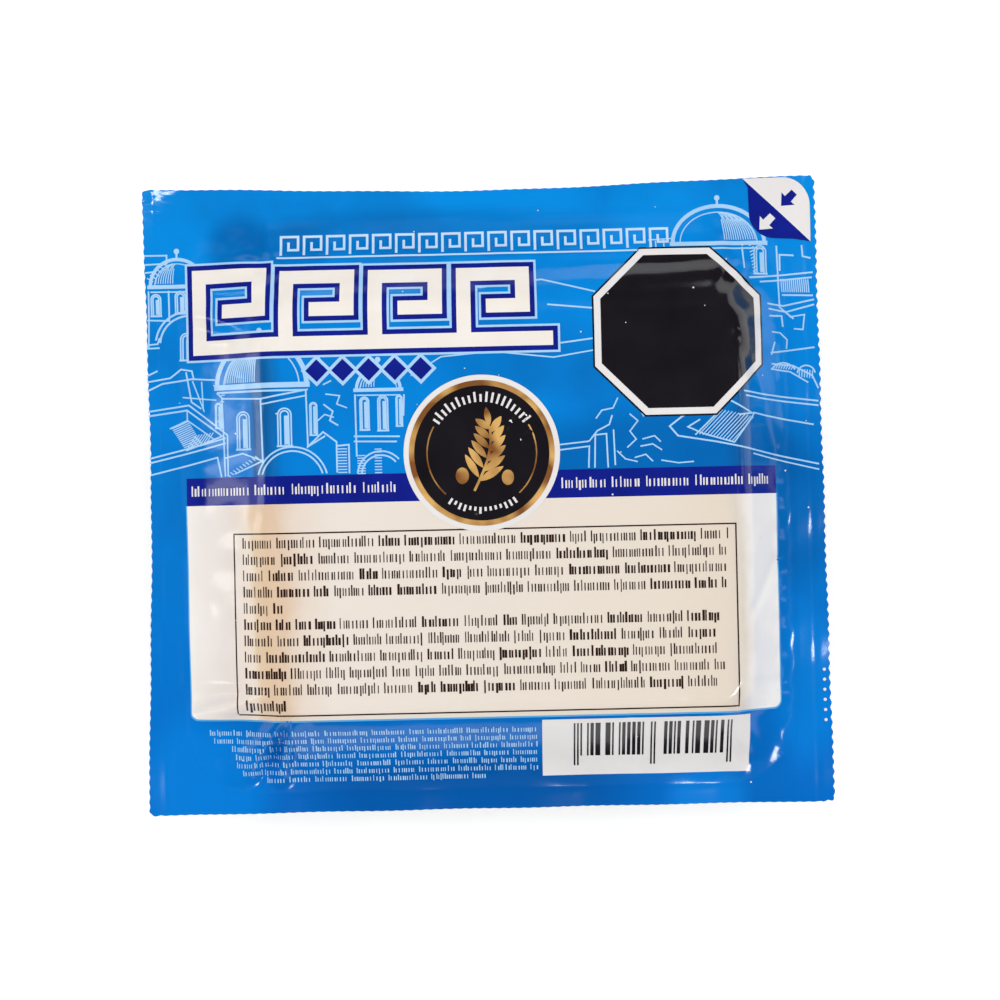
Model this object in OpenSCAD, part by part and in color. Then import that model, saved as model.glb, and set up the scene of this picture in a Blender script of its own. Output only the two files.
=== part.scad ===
// A block of brined white cheese sealed in a flexible pack, lying on its back with the printed lid
// film up. The lid and the formed back film are one closed solid with the block that fills them.
// +Z is up and +Y is the pack's top edge. The origin is the middle of the pack's outline, on the
// surface that the pack lies on. Millimetres.

/* [Cheese block] */
// Length of the block, across the pack
block_l = 94; // [70:1:120]
// Width of the block, up the pack
block_w = 81; // [60:1:105]
// Thickness of the block
block_h = 30; // [24:1:40]
// Radius of the block's four upright corners
block_corner_r = 7; // [3:0.5:12]
// Radius of the block's upper edges under the lid film
block_edge_r = 3.5; // [1:0.5:6]
// Radius of the block's lower edges in the formed back film
base_edge_r = 5; // [2:0.5:8]
// How much the middle of the block's top stands above its edges
crown = 0.5; // [0:0.1:2]

/* [Film between the block and the seal] */
// Reach of the film on the left of the block
slack_left = 17.4; // [6:0.2:24]
// Reach of the film on the right of the block
slack_right = 9.6; // [6:0.2:24]
// Reach of the film above the block
slack_top = 17.6; // [6:0.2:24]
// Reach of the film below the block
slack_bottom = 15; // [6:0.2:24]
// Height of the seal line over the surface that the pack lies on
seal_h = 17; // [12:0.5:20]
// Radius of the corners of the seal line
seal_corner_r = 13; // [6:0.5:20]
// Depth of the pleats that gather the film at each corner
pleat = 0.7; // [0:0.1:1.2]
// Number of pleats at each corner
pleats = 2; // [1:1:3]

/* [Sealed rim] */
// Width of the rim at the left and the right, at the bottom corners
rim_side = 8; // [4:0.2:12]
// Width of the rim at the top
rim_top = 6.8; // [4:0.2:12]
// Width of the rim at the bottom
rim_bottom = 4.6; // [3:0.2:12]
// Thickness of the two films sealed together
rim_t = 0.6; // [0.4:0.1:1.2]
// Radius of the rim's corners
rim_corner_r = 1.2; // [0.5:0.1:3]
// How much further in each side of the rim lies at the top edge than at the bottom edge
rim_taper = 1.4; // [0:0.1:3]
// How far the vacuum draws in the middle of the top edge
pull_top = 1.4; // [0:0.1:3]
// How far the vacuum draws in the middle of the left edge
pull_left = 0.9; // [0:0.1:3]
// Height of the waves along the rim
rim_wave = 0.6; // [0:0.1:1.5]
// How far the rim's corners curl up
corner_curl = 1.8; // [0:0.1:3]

/* [Hidden] */

corner_steps = 8;
side_steps = 20;
loop_n = 4 * (corner_steps + side_steps);

// The outline's middle is the origin, so the block's place follows from the widths around it
pack_l = 2 * rim_side + slack_left + block_l + slack_right;
pack_w = rim_bottom + slack_bottom + block_w + slack_top + rim_top;
block_x0 = -pack_l / 2 + rim_side + slack_left;
block_y0 = -pack_w / 2 + rim_bottom + slack_bottom;

// Boxes in plan: [left, bottom, right, top]
block_box = [block_x0, block_y0, block_x0 + block_l, block_y0 + block_w];
seal_box = [
    block_box[0] - slack_left, block_box[1] - slack_bottom,
    block_box[2] + slack_right, block_box[3] + slack_top
];
rim_box = [-pack_l / 2, -pack_w / 2, pack_l / 2, pack_w / 2];

shoulder_angle = 60;    // where the lid film leaves the block's rounded upper edge
lid_fall = 1.8;         // how sharply the lid film sags from the block to the seal
back_rise = 3;          // how steeply the back film climbs from the block's side to the seal
rim_waves = 5;          // waves along each side of the rim

// Corner k of a box, counted anticlockwise from the lower left, and the middle of its arc
function corner_x(b, r, k) = (k == 0 || k == 3) ? b[0] + r : b[2] - r;
function corner_y(b, r, k) = k < 2 ? b[1] + r : b[3] - r;
function arc_point(b, r, k, s) =
    let(a = 180 + 90 * k + 90 * s / corner_steps)
    [corner_x(b, r, k) + r * cos(a), corner_y(b, r, k) + r * sin(a)];

// A rounded rectangle as loop_n points, the same number along each side and round each corner
function rounded_loop(b, r) = [
    for (k = [0:3]) each concat(
        [for (s = [0:corner_steps - 1]) arc_point(b, r, k, s)],
        [for (s = [0:side_steps - 1])
            let(from = arc_point(b, r, k, corner_steps), to = arc_point(b, r, (k + 1) % 4, 0))
            from + (to - from) * s / side_steps]
    )
];
function inset(b, d) = [b[0] + d, b[1] + d, b[2] - d, b[3] - d];
function mix(p, q, f) = [for (j = [0:loop_n - 1]) p[j] + (q[j] - p[j]) * f];

// The rim's edge: tapered towards the top, and drawn in at the middle of the top and left edges
function half_wave(v, half) = pow(cos(90 * max(-1, min(1, v / half))), 2);
function drawn_in(p) =
    let(up = (p[1] / pack_w) + 0.5)
    [
        p[0] * (1 - up * rim_taper / (pack_l / 2))
            + (p[0] < 0 ? pull_left * half_wave(p[1], pack_w / 2) * pow(-2 * p[0] / pack_l, 8) : 0),
        p[1] - (p[1] > 0 ? pull_top * half_wave(p[0], pack_l / 2) * pow(2 * p[1] / pack_w, 8) : 0)
    ];

block_loop = rounded_loop(block_box, block_corner_r);
seal_loop = rounded_loop(seal_box, seal_corner_r);
rim_loop = [for (p = rounded_loop(rim_box, rim_corner_r)) drawn_in(p)];

// Height of the sealed rim: waves along it, and corners that curl up
function curl(p) = corner_curl * pow(abs(2 * p[0] / pack_l), 6) * pow(abs(2 * p[1] / pack_w), 6);
function wave(p) = rim_wave * (
    sin(360 * rim_waves * p[0] / pack_l) * pow(abs(2 * p[1] / pack_w), 4)
    + cos(360 * rim_waves * p[1] / pack_w) * pow(abs(2 * p[0] / pack_l), 4)
);
function rim_z(p) = seal_h + wave(p) + curl(p);

// Pleats run from the block's corners to the seal's, and fade out at both ends
function corner_place(j) = (j % (corner_steps + side_steps)) / corner_steps;
function pleat_z(j, u) =
    let(c = corner_place(j))
    c > 1 ? 0 : pleat * sin(360 * pleats * c) * 4 * u * (1 - u);

// Rings of the skin, from the middle of the top out over the rim's edge to the flat base
flat_box = inset(block_box, block_edge_r);
flat_loop = rounded_loop(flat_box, block_corner_r);
middle = [(block_box[0] + block_box[2]) / 2, (block_box[1] + block_box[3]) / 2];
shoulder_drop = block_edge_r * (1 - cos(shoulder_angle));
shoulder_loop = rounded_loop(inset(block_box, block_edge_r * (1 - sin(shoulder_angle))), block_corner_r);

function lift(loop, z) = [for (p = loop) [p[0], p[1], z]];
top_rings = [
    for (f = [0.4, 0.75])
        lift([for (p = flat_loop) middle + (p - middle) * f], block_h - crown * f * f)
];
edge_rings = [
    for (a = [0:20:shoulder_angle])
        lift(rounded_loop(inset(block_box, block_edge_r * (1 - sin(a))), block_corner_r),
            block_h - crown - block_edge_r * (1 - cos(a)))
];
drape_rings = [
    for (u = [0.12, 0.25, 0.4, 0.55, 0.7, 0.85, 1])
        let(loop = mix(shoulder_loop, seal_loop, u))
        [for (j = [0:loop_n - 1])
            let(p = loop[j], low = rim_z(p))
            [p[0], p[1], low + (block_h - crown - shoulder_drop - low) * pow(1 - u, lid_fall) + pleat_z(j, u)]]
];
rim_top_rings = [
    for (f = [0.4, 0.75, 1])
        [for (p = mix(seal_loop, rim_loop, f)) [p[0], p[1], rim_z(p)]]
];
rim_back_rings = [
    for (f = [1, 0.5, 0])
        [for (p = mix(seal_loop, rim_loop, f)) [p[0], p[1], rim_z(p) - rim_t]]
];
back_rings = [
    for (u = [0.7, 0.45, 0.25, 0.1, 0])
        [for (p = mix(block_loop, seal_loop, u))
            [p[0], p[1], base_edge_r + (rim_z(p) - rim_t - base_edge_r) * (1 - pow(1 - u, back_rise))]]
];
base_rings = [
    for (a = [60, 30, 0])
        lift(rounded_loop(inset(block_box, base_edge_r * (1 - sin(a))), block_corner_r),
            base_edge_r * (1 - cos(a)))
];
rings = concat(top_rings, edge_rings, drape_rings, rim_top_rings, rim_back_rings, back_rings, base_rings);

function at(i, j) = 1 + i * loop_n + j % loop_n;
base_middle = 1 + len(rings) * loop_n;
skin_points = concat(
    [[middle[0], middle[1], block_h]],
    [for (ring = rings) each ring],
    [[middle[0], middle[1], 0]]
);
skin_faces = concat(
    [for (j = [0:loop_n - 1]) [0, at(0, j + 1), at(0, j)]],
    [for (i = [0:len(rings) - 2], j = [0:loop_n - 1]) each [
        [at(i, j), at(i, j + 1), at(i + 1, j + 1)],
        [at(i, j), at(i + 1, j + 1), at(i + 1, j)]
    ]],
    [for (j = [0:loop_n - 1]) [base_middle, at(len(rings) - 1, j), at(len(rings) - 1, j + 1)]]
);

module pack() {
    color("dodgerblue") polyhedron(skin_points, skin_faces);
}

pack();
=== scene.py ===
import math
import random

import bpy
import numpy as np
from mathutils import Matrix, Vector
from mathutils.geometry import delaunay_2d_cdt


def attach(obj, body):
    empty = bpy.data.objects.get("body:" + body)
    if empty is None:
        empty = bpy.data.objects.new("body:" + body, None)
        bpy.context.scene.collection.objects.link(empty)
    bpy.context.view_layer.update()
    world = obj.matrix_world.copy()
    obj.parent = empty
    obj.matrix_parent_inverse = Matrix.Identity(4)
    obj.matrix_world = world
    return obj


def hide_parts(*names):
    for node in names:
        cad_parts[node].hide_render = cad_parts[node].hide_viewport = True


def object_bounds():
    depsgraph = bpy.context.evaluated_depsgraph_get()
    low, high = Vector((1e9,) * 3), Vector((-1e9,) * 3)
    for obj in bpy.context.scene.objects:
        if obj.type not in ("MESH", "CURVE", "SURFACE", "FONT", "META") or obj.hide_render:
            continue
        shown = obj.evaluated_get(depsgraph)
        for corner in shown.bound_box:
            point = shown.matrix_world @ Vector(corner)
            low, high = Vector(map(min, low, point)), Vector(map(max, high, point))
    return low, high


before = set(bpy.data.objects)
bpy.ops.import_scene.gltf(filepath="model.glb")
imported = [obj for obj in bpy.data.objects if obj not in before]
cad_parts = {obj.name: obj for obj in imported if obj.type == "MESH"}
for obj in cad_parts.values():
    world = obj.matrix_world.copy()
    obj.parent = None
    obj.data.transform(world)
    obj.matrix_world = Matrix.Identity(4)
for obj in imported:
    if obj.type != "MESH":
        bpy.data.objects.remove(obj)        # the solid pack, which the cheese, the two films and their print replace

cad_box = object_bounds()

# ---- Cheese block ----
# One block of brined white cheese, sawn from a larger loaf, so its faces are nearly flat and finely
# pitted. It fills the pack, and the vacuum presses both films onto it and rounds its edges.

MM = 0.001
half_l, half_w, top_z = (side / MM for side in cad_box[1])

rim_side, rim_top, rim_bottom = 8, 6.8, 4.6
slack_left, slack_right, slack_top, slack_bottom = 17.4, 9.6, 17.6, 15
block_box = (
    -half_l + rim_side + slack_left,
    -half_w + rim_bottom + slack_bottom,
    half_l - rim_side - slack_right,
    half_w - rim_top - slack_top,
)
block_corner_r = 7
film_t = 0.12


def srgb(text):
    """A colour written as sRGB hex, in the linear light that the shaders work in."""
    parts = [int(text[i:i + 2], 16) / 255 for i in (0, 2, 4)]
    return [c / 12.92 if c <= 0.04045 else ((c + 0.055) / 1.055) ** 2.4 for c in parts] + [1]


def add(tree, kind, sockets=None, **settings):
    """Adds a shader node with its settings. A socket is given a value, or another node's socket."""
    made = tree.nodes.new(kind)
    for name, value in settings.items():
        setattr(made, name, value)
    for name, value in (sockets or {}).items():
        if isinstance(value, bpy.types.NodeSocket):
            tree.links.new(value, made.inputs[name])
        else:
            made.inputs[name].default_value = value
    return made


def noise(tree, place, size_mm, detail):
    """Soft noise from 0 to 1, whose patches are about the given size."""
    sockets = {"Vector": place, "Scale": 1 / (size_mm * MM), "Detail": detail}
    return add(tree, "ShaderNodeTexNoise", sockets).outputs["Fac"]


def ranged(tree, value, low, high, to_high=1.0, **settings):
    """A value taken from the range low to high onto 0 to to_high, and held at the ends."""
    return add(tree, "ShaderNodeMapRange", {
        "Value": value, "From Min": low, "From Max": high, "To Max": to_high,
    }, **settings).outputs["Result"]


def blend(tree, share, first, second):
    """A mix of two colours, where a share of 1 is all the second."""
    return add(tree, "ShaderNodeMix", {
        "Factor": share, "A": first, "B": second,
    }, data_type="RGBA").outputs["Result"]


def bump(tree, height, strength, depth_mm, over=None):
    """The normal of relief that is only in the shading, laid over another such normal if given."""
    sockets = {"Height": height, "Strength": strength, "Distance": depth_mm * MM}
    if over is not None:
        sockets["Normal"] = over
    return add(tree, "ShaderNodeBump", sockets).outputs["Normal"]


def empty_material(name):
    """A material with only its output, and the coordinates of the pack in metres."""
    material = bpy.data.materials.new(name)
    material.use_nodes = True
    material.node_tree.nodes.clear()
    tree = material.node_tree
    output = add(tree, "ShaderNodeOutputMaterial")
    place = add(tree, "ShaderNodeTexCoord").outputs["Object"]
    return material, tree, output, place


def piece_from(name, points, faces, materials, normals=None, second=()):
    """A smooth mesh from points in millimetres. Faces listed in second take the second material."""
    mesh = bpy.data.meshes.new(name)
    mesh.from_pydata([tuple(p * MM) for p in np.asarray(points, float)], [], [tuple(f) for f in faces])
    for material in materials:
        mesh.materials.append(material)
    mesh.polygons.foreach_set("use_smooth", [True] * len(mesh.polygons))
    if len(second):
        numbers = np.zeros(len(faces), int)
        numbers[np.asarray(second)] = 1
        mesh.polygons.foreach_set("material_index", numbers.tolist())
    mesh.update()
    if normals is not None:
        mesh.normals_split_custom_set_from_vertices([tuple(n) for n in normals])
    piece = bpy.data.objects.new(name, mesh)
    bpy.context.scene.collection.objects.link(piece)
    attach(piece, "root")
    return piece


def ripples(x, y, longest, shortest, count, seed):
    """Irregular ripples from -1 to 1: waves of random length and direction, laid over each other."""
    rng = random.Random(seed)
    total = np.zeros_like(np.asarray(x, float))
    for _ in range(count):
        length = shortest * (longest / shortest) ** rng.random()
        angle, phase = rng.random() * math.tau, rng.random() * math.tau
        total += np.sin(math.tau * (x * math.cos(angle) + y * math.sin(angle)) / length + phase)
    return total / math.sqrt(count) / 1.5


def rounded_block(lo, hi, r, steps):
    """Points and faces of a box with rounded edges, each side a grid of steps by steps."""
    points, faces, found = [], [], {}
    lo, hi = np.array(lo, float), np.array(hi, float)
    for axis in range(3):
        for side in (0, 1):
            u_axis, v_axis = (axis + 1) % 3, (axis + 2) % 3
            index = np.zeros((steps + 1, steps + 1), int)
            for i in range(steps + 1):
                for j in range(steps + 1):
                    key = [0, 0, 0]
                    key[axis], key[u_axis], key[v_axis] = side * steps, i, j
                    key = tuple(key)
                    if key not in found:
                        found[key] = len(points)
                        points.append(lo + (hi - lo) * np.array(key) / steps)
                    index[i, j] = found[key]
            for i in range(steps):
                for j in range(steps):
                    corners = [index[i, j], index[i + 1, j], index[i + 1, j + 1], index[i, j + 1]]
                    faces.append(corners if side else corners[::-1])
    points = np.array(points)
    core = np.clip(points, lo + r, hi - r)
    away = points - core
    length = np.linalg.norm(away, axis=1, keepdims=True)
    return np.where(length > 0, core + away * r / np.maximum(length, 1e-9), points), faces


# Brined white cheese, sawn: off-white with faint warm patches, moist, with small pits and crumbs
cheese, tree, output, place = empty_material("brined_white_cheese")
tint = blend(tree, noise(tree, place, 9, 4), srgb("EADBBF"), srgb("F8F0DC"))
pits = add(tree, "ShaderNodeTexVoronoi", {"Vector": place, "Scale": 1 / (1.6 * MM)})
pitted = bump(tree, pits.outputs["Distance"], 0.35, 0.4)
crumbly = bump(tree, noise(tree, place, 0.5, 3), 0.3, 0.2, over=pitted)
moist = add(tree, "ShaderNodeBsdfPrincipled", {
    "Base Color": tint, "Normal": crumbly, "Roughness": 0.5,
    "Subsurface Weight": 0.15, "Subsurface Radius": (0.002, 0.0015, 0.001), "Coat Weight": 0.4,
    "Coat Roughness": 0.2, "IOR": 1.45,
})
tree.links.new(moist.outputs[0], output.inputs["Surface"])

room, room_under, room_over, block_edge_r, block_steps = 0.5, 0.4, 1.3, 6.8, 60
block_points, block_faces = rounded_block(
    (block_box[0] + room, block_box[1] + room, room_under),
    (block_box[2] - room, block_box[3] - room, top_z - room_over),
    block_edge_r, block_steps,
)
uneven = ripples(block_points[:, 0], block_points[:, 1], 30, 8, 8, 3)
block_points[:, 2] += 0.15 * uneven * (block_points[:, 2] / top_z)
block = piece_from("cheese_block", block_points, block_faces, [cheese])
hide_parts("pack")

# ---- Lid film ----
# The flat upper film, a polyester and polyethylene laminate printed on the inside of its top layer.
# The vacuum drapes it over the block, which leaves ripples, pleats at the corners and small dents.

seal_h, seal_corner_r, cut_corner_r = 17, 13, 1.2
seal_box = (
    block_box[0] - slack_left, block_box[1] - slack_bottom,
    block_box[2] + slack_right, block_box[3] + slack_top,
)
rim_taper, pull_top, pull_left = 1.4, 1.4, 0.9
rim_wave, rim_waves, corner_curl = 0.6, 5, 1.8
lift_from, lift_run, lift_h, crumple_from, crumple_run = 81, 9, 1.5, 80, 6
tooth_pitch, notch_share = 1.96, 0.42
tooth_right, tooth_left, tooth_ends = 0.36, 0.2, 0.1
loop_side, loop_corner = 480, 16
lid_fall, edge_blend, crown = 1.5, 3.4, 0.5
deep_pleat, low_pleat, head_ripple, head_ripple_pitch = 1.7, 0.5, 0.22, 5.2
top_ripple, fine_ripple, slope_ripple, corner_ripple = 0.12, 0.07, 0.18, 0.05
scallop, scallop_pitch, seal_groove, edge_groove, edge_groove_in = 0.16, 6, 0.12, 0.10, 3.2
grid_step = 0.6


def rounded_loop(box, r):
    """A rounded rectangle in plan, anticlockwise from its lower left corner."""
    x0, y0, x1, y1 = box[0] + r, box[1] + r, box[2] - r, box[3] - r
    centres = ((x0, y0), (x1, y0), (x1, y1), (x0, y1))
    arcs = []
    for k, (cx, cy) in enumerate(centres):
        angles = math.pi * (1 + k / 2) + np.linspace(0, math.pi / 2, loop_corner + 1)
        arcs.append(np.stack((cx + r * np.cos(angles), cy + r * np.sin(angles)), axis=1))
    points = []
    for k in range(4):
        share = np.linspace(0, 1, loop_side, endpoint=False)[:, None]
        points += [arcs[k][:-1], arcs[k][-1] + (arcs[(k + 1) % 4][0] - arcs[k][-1]) * share]
    return np.concatenate(points)


def rim_z(x, y):
    """Height of the sealed rim, with its waves and its corners curled up, most at the upper left."""
    along_x, along_y = np.abs(x / half_l), np.abs(y / half_w)
    waves = np.sin(math.pi * rim_waves * x / half_l) * along_y ** 4 \
        + np.cos(math.pi * rim_waves * y / half_w) * along_x ** 4
    lifted = np.clip(((y - x) / math.sqrt(2) - lift_from) / lift_run, 0, 1)
    return seal_h + rim_wave * waves + corner_curl * (along_x * along_y) ** 6 + lift_h * lifted ** 2


def drawn_in(points):
    """The cut edge: tapered to the top, and drawn in by the vacuum along the top and the left."""
    x, y = points.T
    share = y / (2 * half_w) + 0.5
    left = np.cos(math.pi / 2 * y / half_w) ** 2 * np.clip(-x / half_l, 0, 1) ** 8
    top = np.cos(math.pi / 2 * np.clip(x / half_l, -1, 1)) ** 2 * np.clip(y / half_w, 0, 1) ** 8
    return np.stack((x * (1 - share * rim_taper / half_l) + pull_left * left, y - pull_top * top), axis=1)


def pinked(points):
    """Cuts the small V notches that the toothed knife leaves along the edge."""
    ahead = np.roll(points, -1, axis=0) - points
    walked = np.concatenate(([0], np.cumsum(np.linalg.norm(ahead, axis=1))[:-1]))
    phase = np.abs((walked / tooth_pitch) % 1 - 0.5) / notch_share
    depth = np.where(points[:, 0] > half_l - 3, tooth_right, tooth_ends)
    depth = np.where(points[:, 0] < 3 - half_l, tooth_left, depth)
    bite = depth * np.clip(1 - phase, 0, 1)
    tangent = np.roll(points, -1, axis=0) - np.roll(points, 1, axis=0)
    tangent /= np.linalg.norm(tangent, axis=1, keepdims=True)
    return points + np.stack((-tangent[:, 1], tangent[:, 0]), axis=1) * bite[:, None]


# Creases and dents, each from one point to another: x, y, x, y, width and depth in millimetres
creases = (
    (47, 54, 50, 51, 1.6, 0.45), (57.6, -14, 51.4, -25, 1.1, 0.4), (58, 8, 53, 26, 1.6, 0.4),
    (-1.2, -3.9, 4.8, -7, 0.8, 0.2), (-37.6, -21, -37, -21.6, 1.4, 0.3), (-47, 24, -46, -2, 2.2, 0.35),
    (-20, 44, 14, 42.5, 1.6, 0.3), (8, 47, 40, 45.5, 1.4, 0.3), (-34, 41, -12, 46, 1.6, 0.25),
    (-41, -46, -46, -55, 1.0, 0.5), (-36, -45, -38, -55, 1.1, 0.4), (28, -44, 26, -53, 1.4, 0.25),
    (46, -46, 52, -54, 1.5, 0.45), (54, -38, 60, -46, 1.6, 0.2), (-53, -30, -60, -36, 1.6, 0.15),
    (20, 1, 28, -3, 1.2, 0.15), (-30, -3.5, -24, -2, 1.0, 0.15), (44, -4, 50, -1, 1.2, 0.15),
    (5.6, 14.2, 8.4, 11.4, 0.5, 0.3), (6.6, 15, 9.4, 12.6, 0.5, 0.3), (7.4, 10.4, 9.2, 12.2, 0.4, 0.25),
    (5.2, 12.6, 6.4, 10.8, 0.5, 0.25), (8.6, 15.2, 10.4, 13.6, 0.4, 0.25),
    (12, 20, 30, 17, 2.2, 0.12), (-8, 30, 8, 24, 2.4, 0.12), (50, 30, 56, 18, 1.2, 0.3),
)

# Flat facets pressed into the drape, each a triangle with its depth: the largest is at the upper left
facets = (
    ((-55.1, 47.6), (-42.8, 56.6), (-40.2, 45.8), 0.6), ((-38.5, 47), (-27, 54.5), (-24, 46), 0.3),
    ((44.5, 51.5), (49, 56), (53, 50.5), 0.35), ((53.5, -47), (61, -44.5), (59, -53), 0.35),
)


def rounded_distance(x, y, box, r):
    """How far a point lies outside a rounded rectangle, negative inside it."""
    dx = np.abs(x - (box[0] + box[2]) / 2) - (box[2] - box[0]) / 2 + r
    dy = np.abs(y - (box[1] + box[3]) / 2) - (box[3] - box[1]) / 2 + r
    return np.hypot(np.maximum(dx, 0), np.maximum(dy, 0)) + np.minimum(np.maximum(dx, dy), 0) - r


def crease(x, y, x0, y0, x1, y1, width, depth):
    """A soft groove along a straight line, which fades out at both ends."""
    run = math.hypot(x1 - x0, y1 - y0)
    along = ((x - x0) * (x1 - x0) + (y - y0) * (y1 - y0)) / run
    across = ((x - x0) * (y1 - y0) - (y - y0) * (x1 - x0)) / run
    past = np.maximum(0, np.maximum(-along, along - run))
    return -depth * np.exp(-(across ** 2 + past ** 2) / width ** 2)


def facet(x, y, a, b, c, depth):
    """A triangle pushed down evenly, with soft edges. Its corners run clockwise."""
    room = np.full(np.shape(x), 9.0)
    for (x0, y0), (x1, y1) in ((a, b), (b, c), (c, a)):
        from_edge = ((x - x0) * (y1 - y0) - (y - y0) * (x1 - x0)) / math.hypot(x1 - x0, y1 - y0)
        room = np.minimum(room, from_edge)
    share = np.clip(room / 3.2 + 0.15, 0, 1)
    return -depth * share * share * (3 - 2 * share)


def lid_z(x, y):
    """Height of the lid film's upper side over the surface that the pack lies on."""
    x, y = np.asarray(x, float), np.asarray(y, float)
    out = rounded_distance(x, y, block_box, block_corner_r)
    inside_seal = np.maximum(-rounded_distance(x, y, seal_box, seal_corner_r), 0)
    u = np.minimum(out / np.maximum(out + inside_seal, 0.01), 1)
    slope = 4 * np.clip(u, 0, 1) * (1 - np.clip(u, 0, 1))
    low = rim_z(x, y)
    hump = crown * np.clip(-out / 40, 0, 1)
    plateau = top_z - crown + hump + top_ripple * ripples(x, y, 34, 12, 7, 11)
    drape = low + (top_z - crown - low) * (1 - u) ** lid_fall
    h = np.clip(0.5 + 0.5 * (drape - plateau) / edge_blend, 0, 1)
    z = drape * (1 - h) + plateau * h - edge_blend * h * (1 - h)

    # Pleats fan out from the block's corners, deepest at the lower left
    corner_x = np.where(x > 0, block_box[2] - block_corner_r, block_box[0] + block_corner_r)
    corner_y = np.where(y > 0, block_box[3] - block_corner_r, block_box[1] + block_corner_r)
    turn = np.arctan2(np.abs(y - corner_y), np.abs(x - corner_x))
    beyond = np.clip(np.minimum(np.abs(x) - np.abs(corner_x), np.abs(y) - np.abs(corner_y)) / 6, 0, 1)
    depth = np.where((x < 0) & (y < 0), deep_pleat, low_pleat)
    fan = turn * 14 + 1.5 * np.sin(turn * 5) + np.where(x > 0, 1, 2.3)
    z = z + depth * np.sin(fan) * slope * beyond

    # Long ripples along the slope above the block, and fine ones all over, calmer at the left rim
    bowed = math.tau * y / head_ripple_pitch + 0.9 * np.sin(x / 11)
    z = z + head_ripple * np.sin(bowed) * slope * np.clip((y - 36) / 6, 0, 1)
    calm = 1 - 0.75 * np.clip((-55 - x) / 6, 0, 1) * np.clip((30 - y) / 8, 0, 1)
    z = z + fine_ripple * ripples(x, y, 16, 5, 14, 5) * calm
    z = z + slope_ripple * ripples(x, y, 18, 7, 10, 8) * slope

    # Scallops where the pocket was formed, along the right of the seal, then the seal's own edge, a
    # groove along each side of the rim, and crumpling where the upper left corner curls up
    row = np.clip((6 - y) / 6, 0, 1) * np.clip((y + 46) / 6, 0, 1)
    beside_seal = np.exp(-((x - seal_box[2] + 1.5) / 1.7) ** 2)
    z = z + scallop * np.sin(math.tau * y / scallop_pitch) * beside_seal * row
    z = z - seal_groove * np.exp(-((rounded_distance(x, y, seal_box, seal_corner_r) - 0.6) / 0.6) ** 2)
    z = z - edge_groove * np.exp(-((np.abs(x) - half_l + edge_groove_in) / 0.5) ** 2)
    crumpled = np.clip(((y - x) / math.sqrt(2) - crumple_from) / crumple_run, 0, 1)
    z = z + corner_ripple * ripples(x, y, 3.5, 1.3, 10, 17) * crumpled
    for groove in creases:
        z = z + crease(x, y, *groove)
    for dent in facets:
        z = z + facet(x, y, *dent)
    return z


def lid_normals(x, y):
    """The lid's true normals, from its slope, so that thin triangles don't show in the gloss."""
    d = 0.08
    slope_x = (lid_z(x + d, y) - lid_z(x - d, y)) / (2 * d)
    slope_y = (lid_z(x, y + d) - lid_z(x, y - d)) / (2 * d)
    normals = np.stack((-slope_x, -slope_y, np.ones_like(slope_x)), axis=1)
    return normals / np.linalg.norm(normals, axis=1, keepdims=True)


def even_steps(loop):
    """A closed outline with no step longer than the grid's."""
    loop = np.asarray(loop, float)
    points = []
    for start, end in zip(loop, np.roll(loop, -1, axis=0)):
        steps = max(1, math.ceil(math.dist(start, end) / grid_step))
        points += [start + (end - start) * i / steps for i in range(steps)]
    return np.array(points)


def inside(x, y, loops):
    """Which points lie inside a shape's outlines, counting a loop within another as a hole."""
    odd = np.zeros(len(x), bool)
    for loop in loops:
        for (x0, y0), (x1, y1) in zip(loop, np.roll(loop, -1, axis=0)):
            if y0 != y1:
                crosses = (y0 > y) != (y1 > y)
                odd ^= crosses & (x < (x1 - x0) * (y - y0) / (y1 - y0) + x0)
    return odd


def within(x, y, shapes):
    """Which points lie inside any of the shapes."""
    found = np.zeros(len(x), bool)
    for loops in shapes:
        lo, hi = np.min(loops[0], axis=0), np.max(loops[0], axis=0)
        near = np.flatnonzero((x >= lo[0]) & (x <= hi[0]) & (y >= lo[1]) & (y <= hi[1]) & ~found)
        if len(near):
            found[near] = inside(x[near], y[near], loops)
    return found


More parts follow.
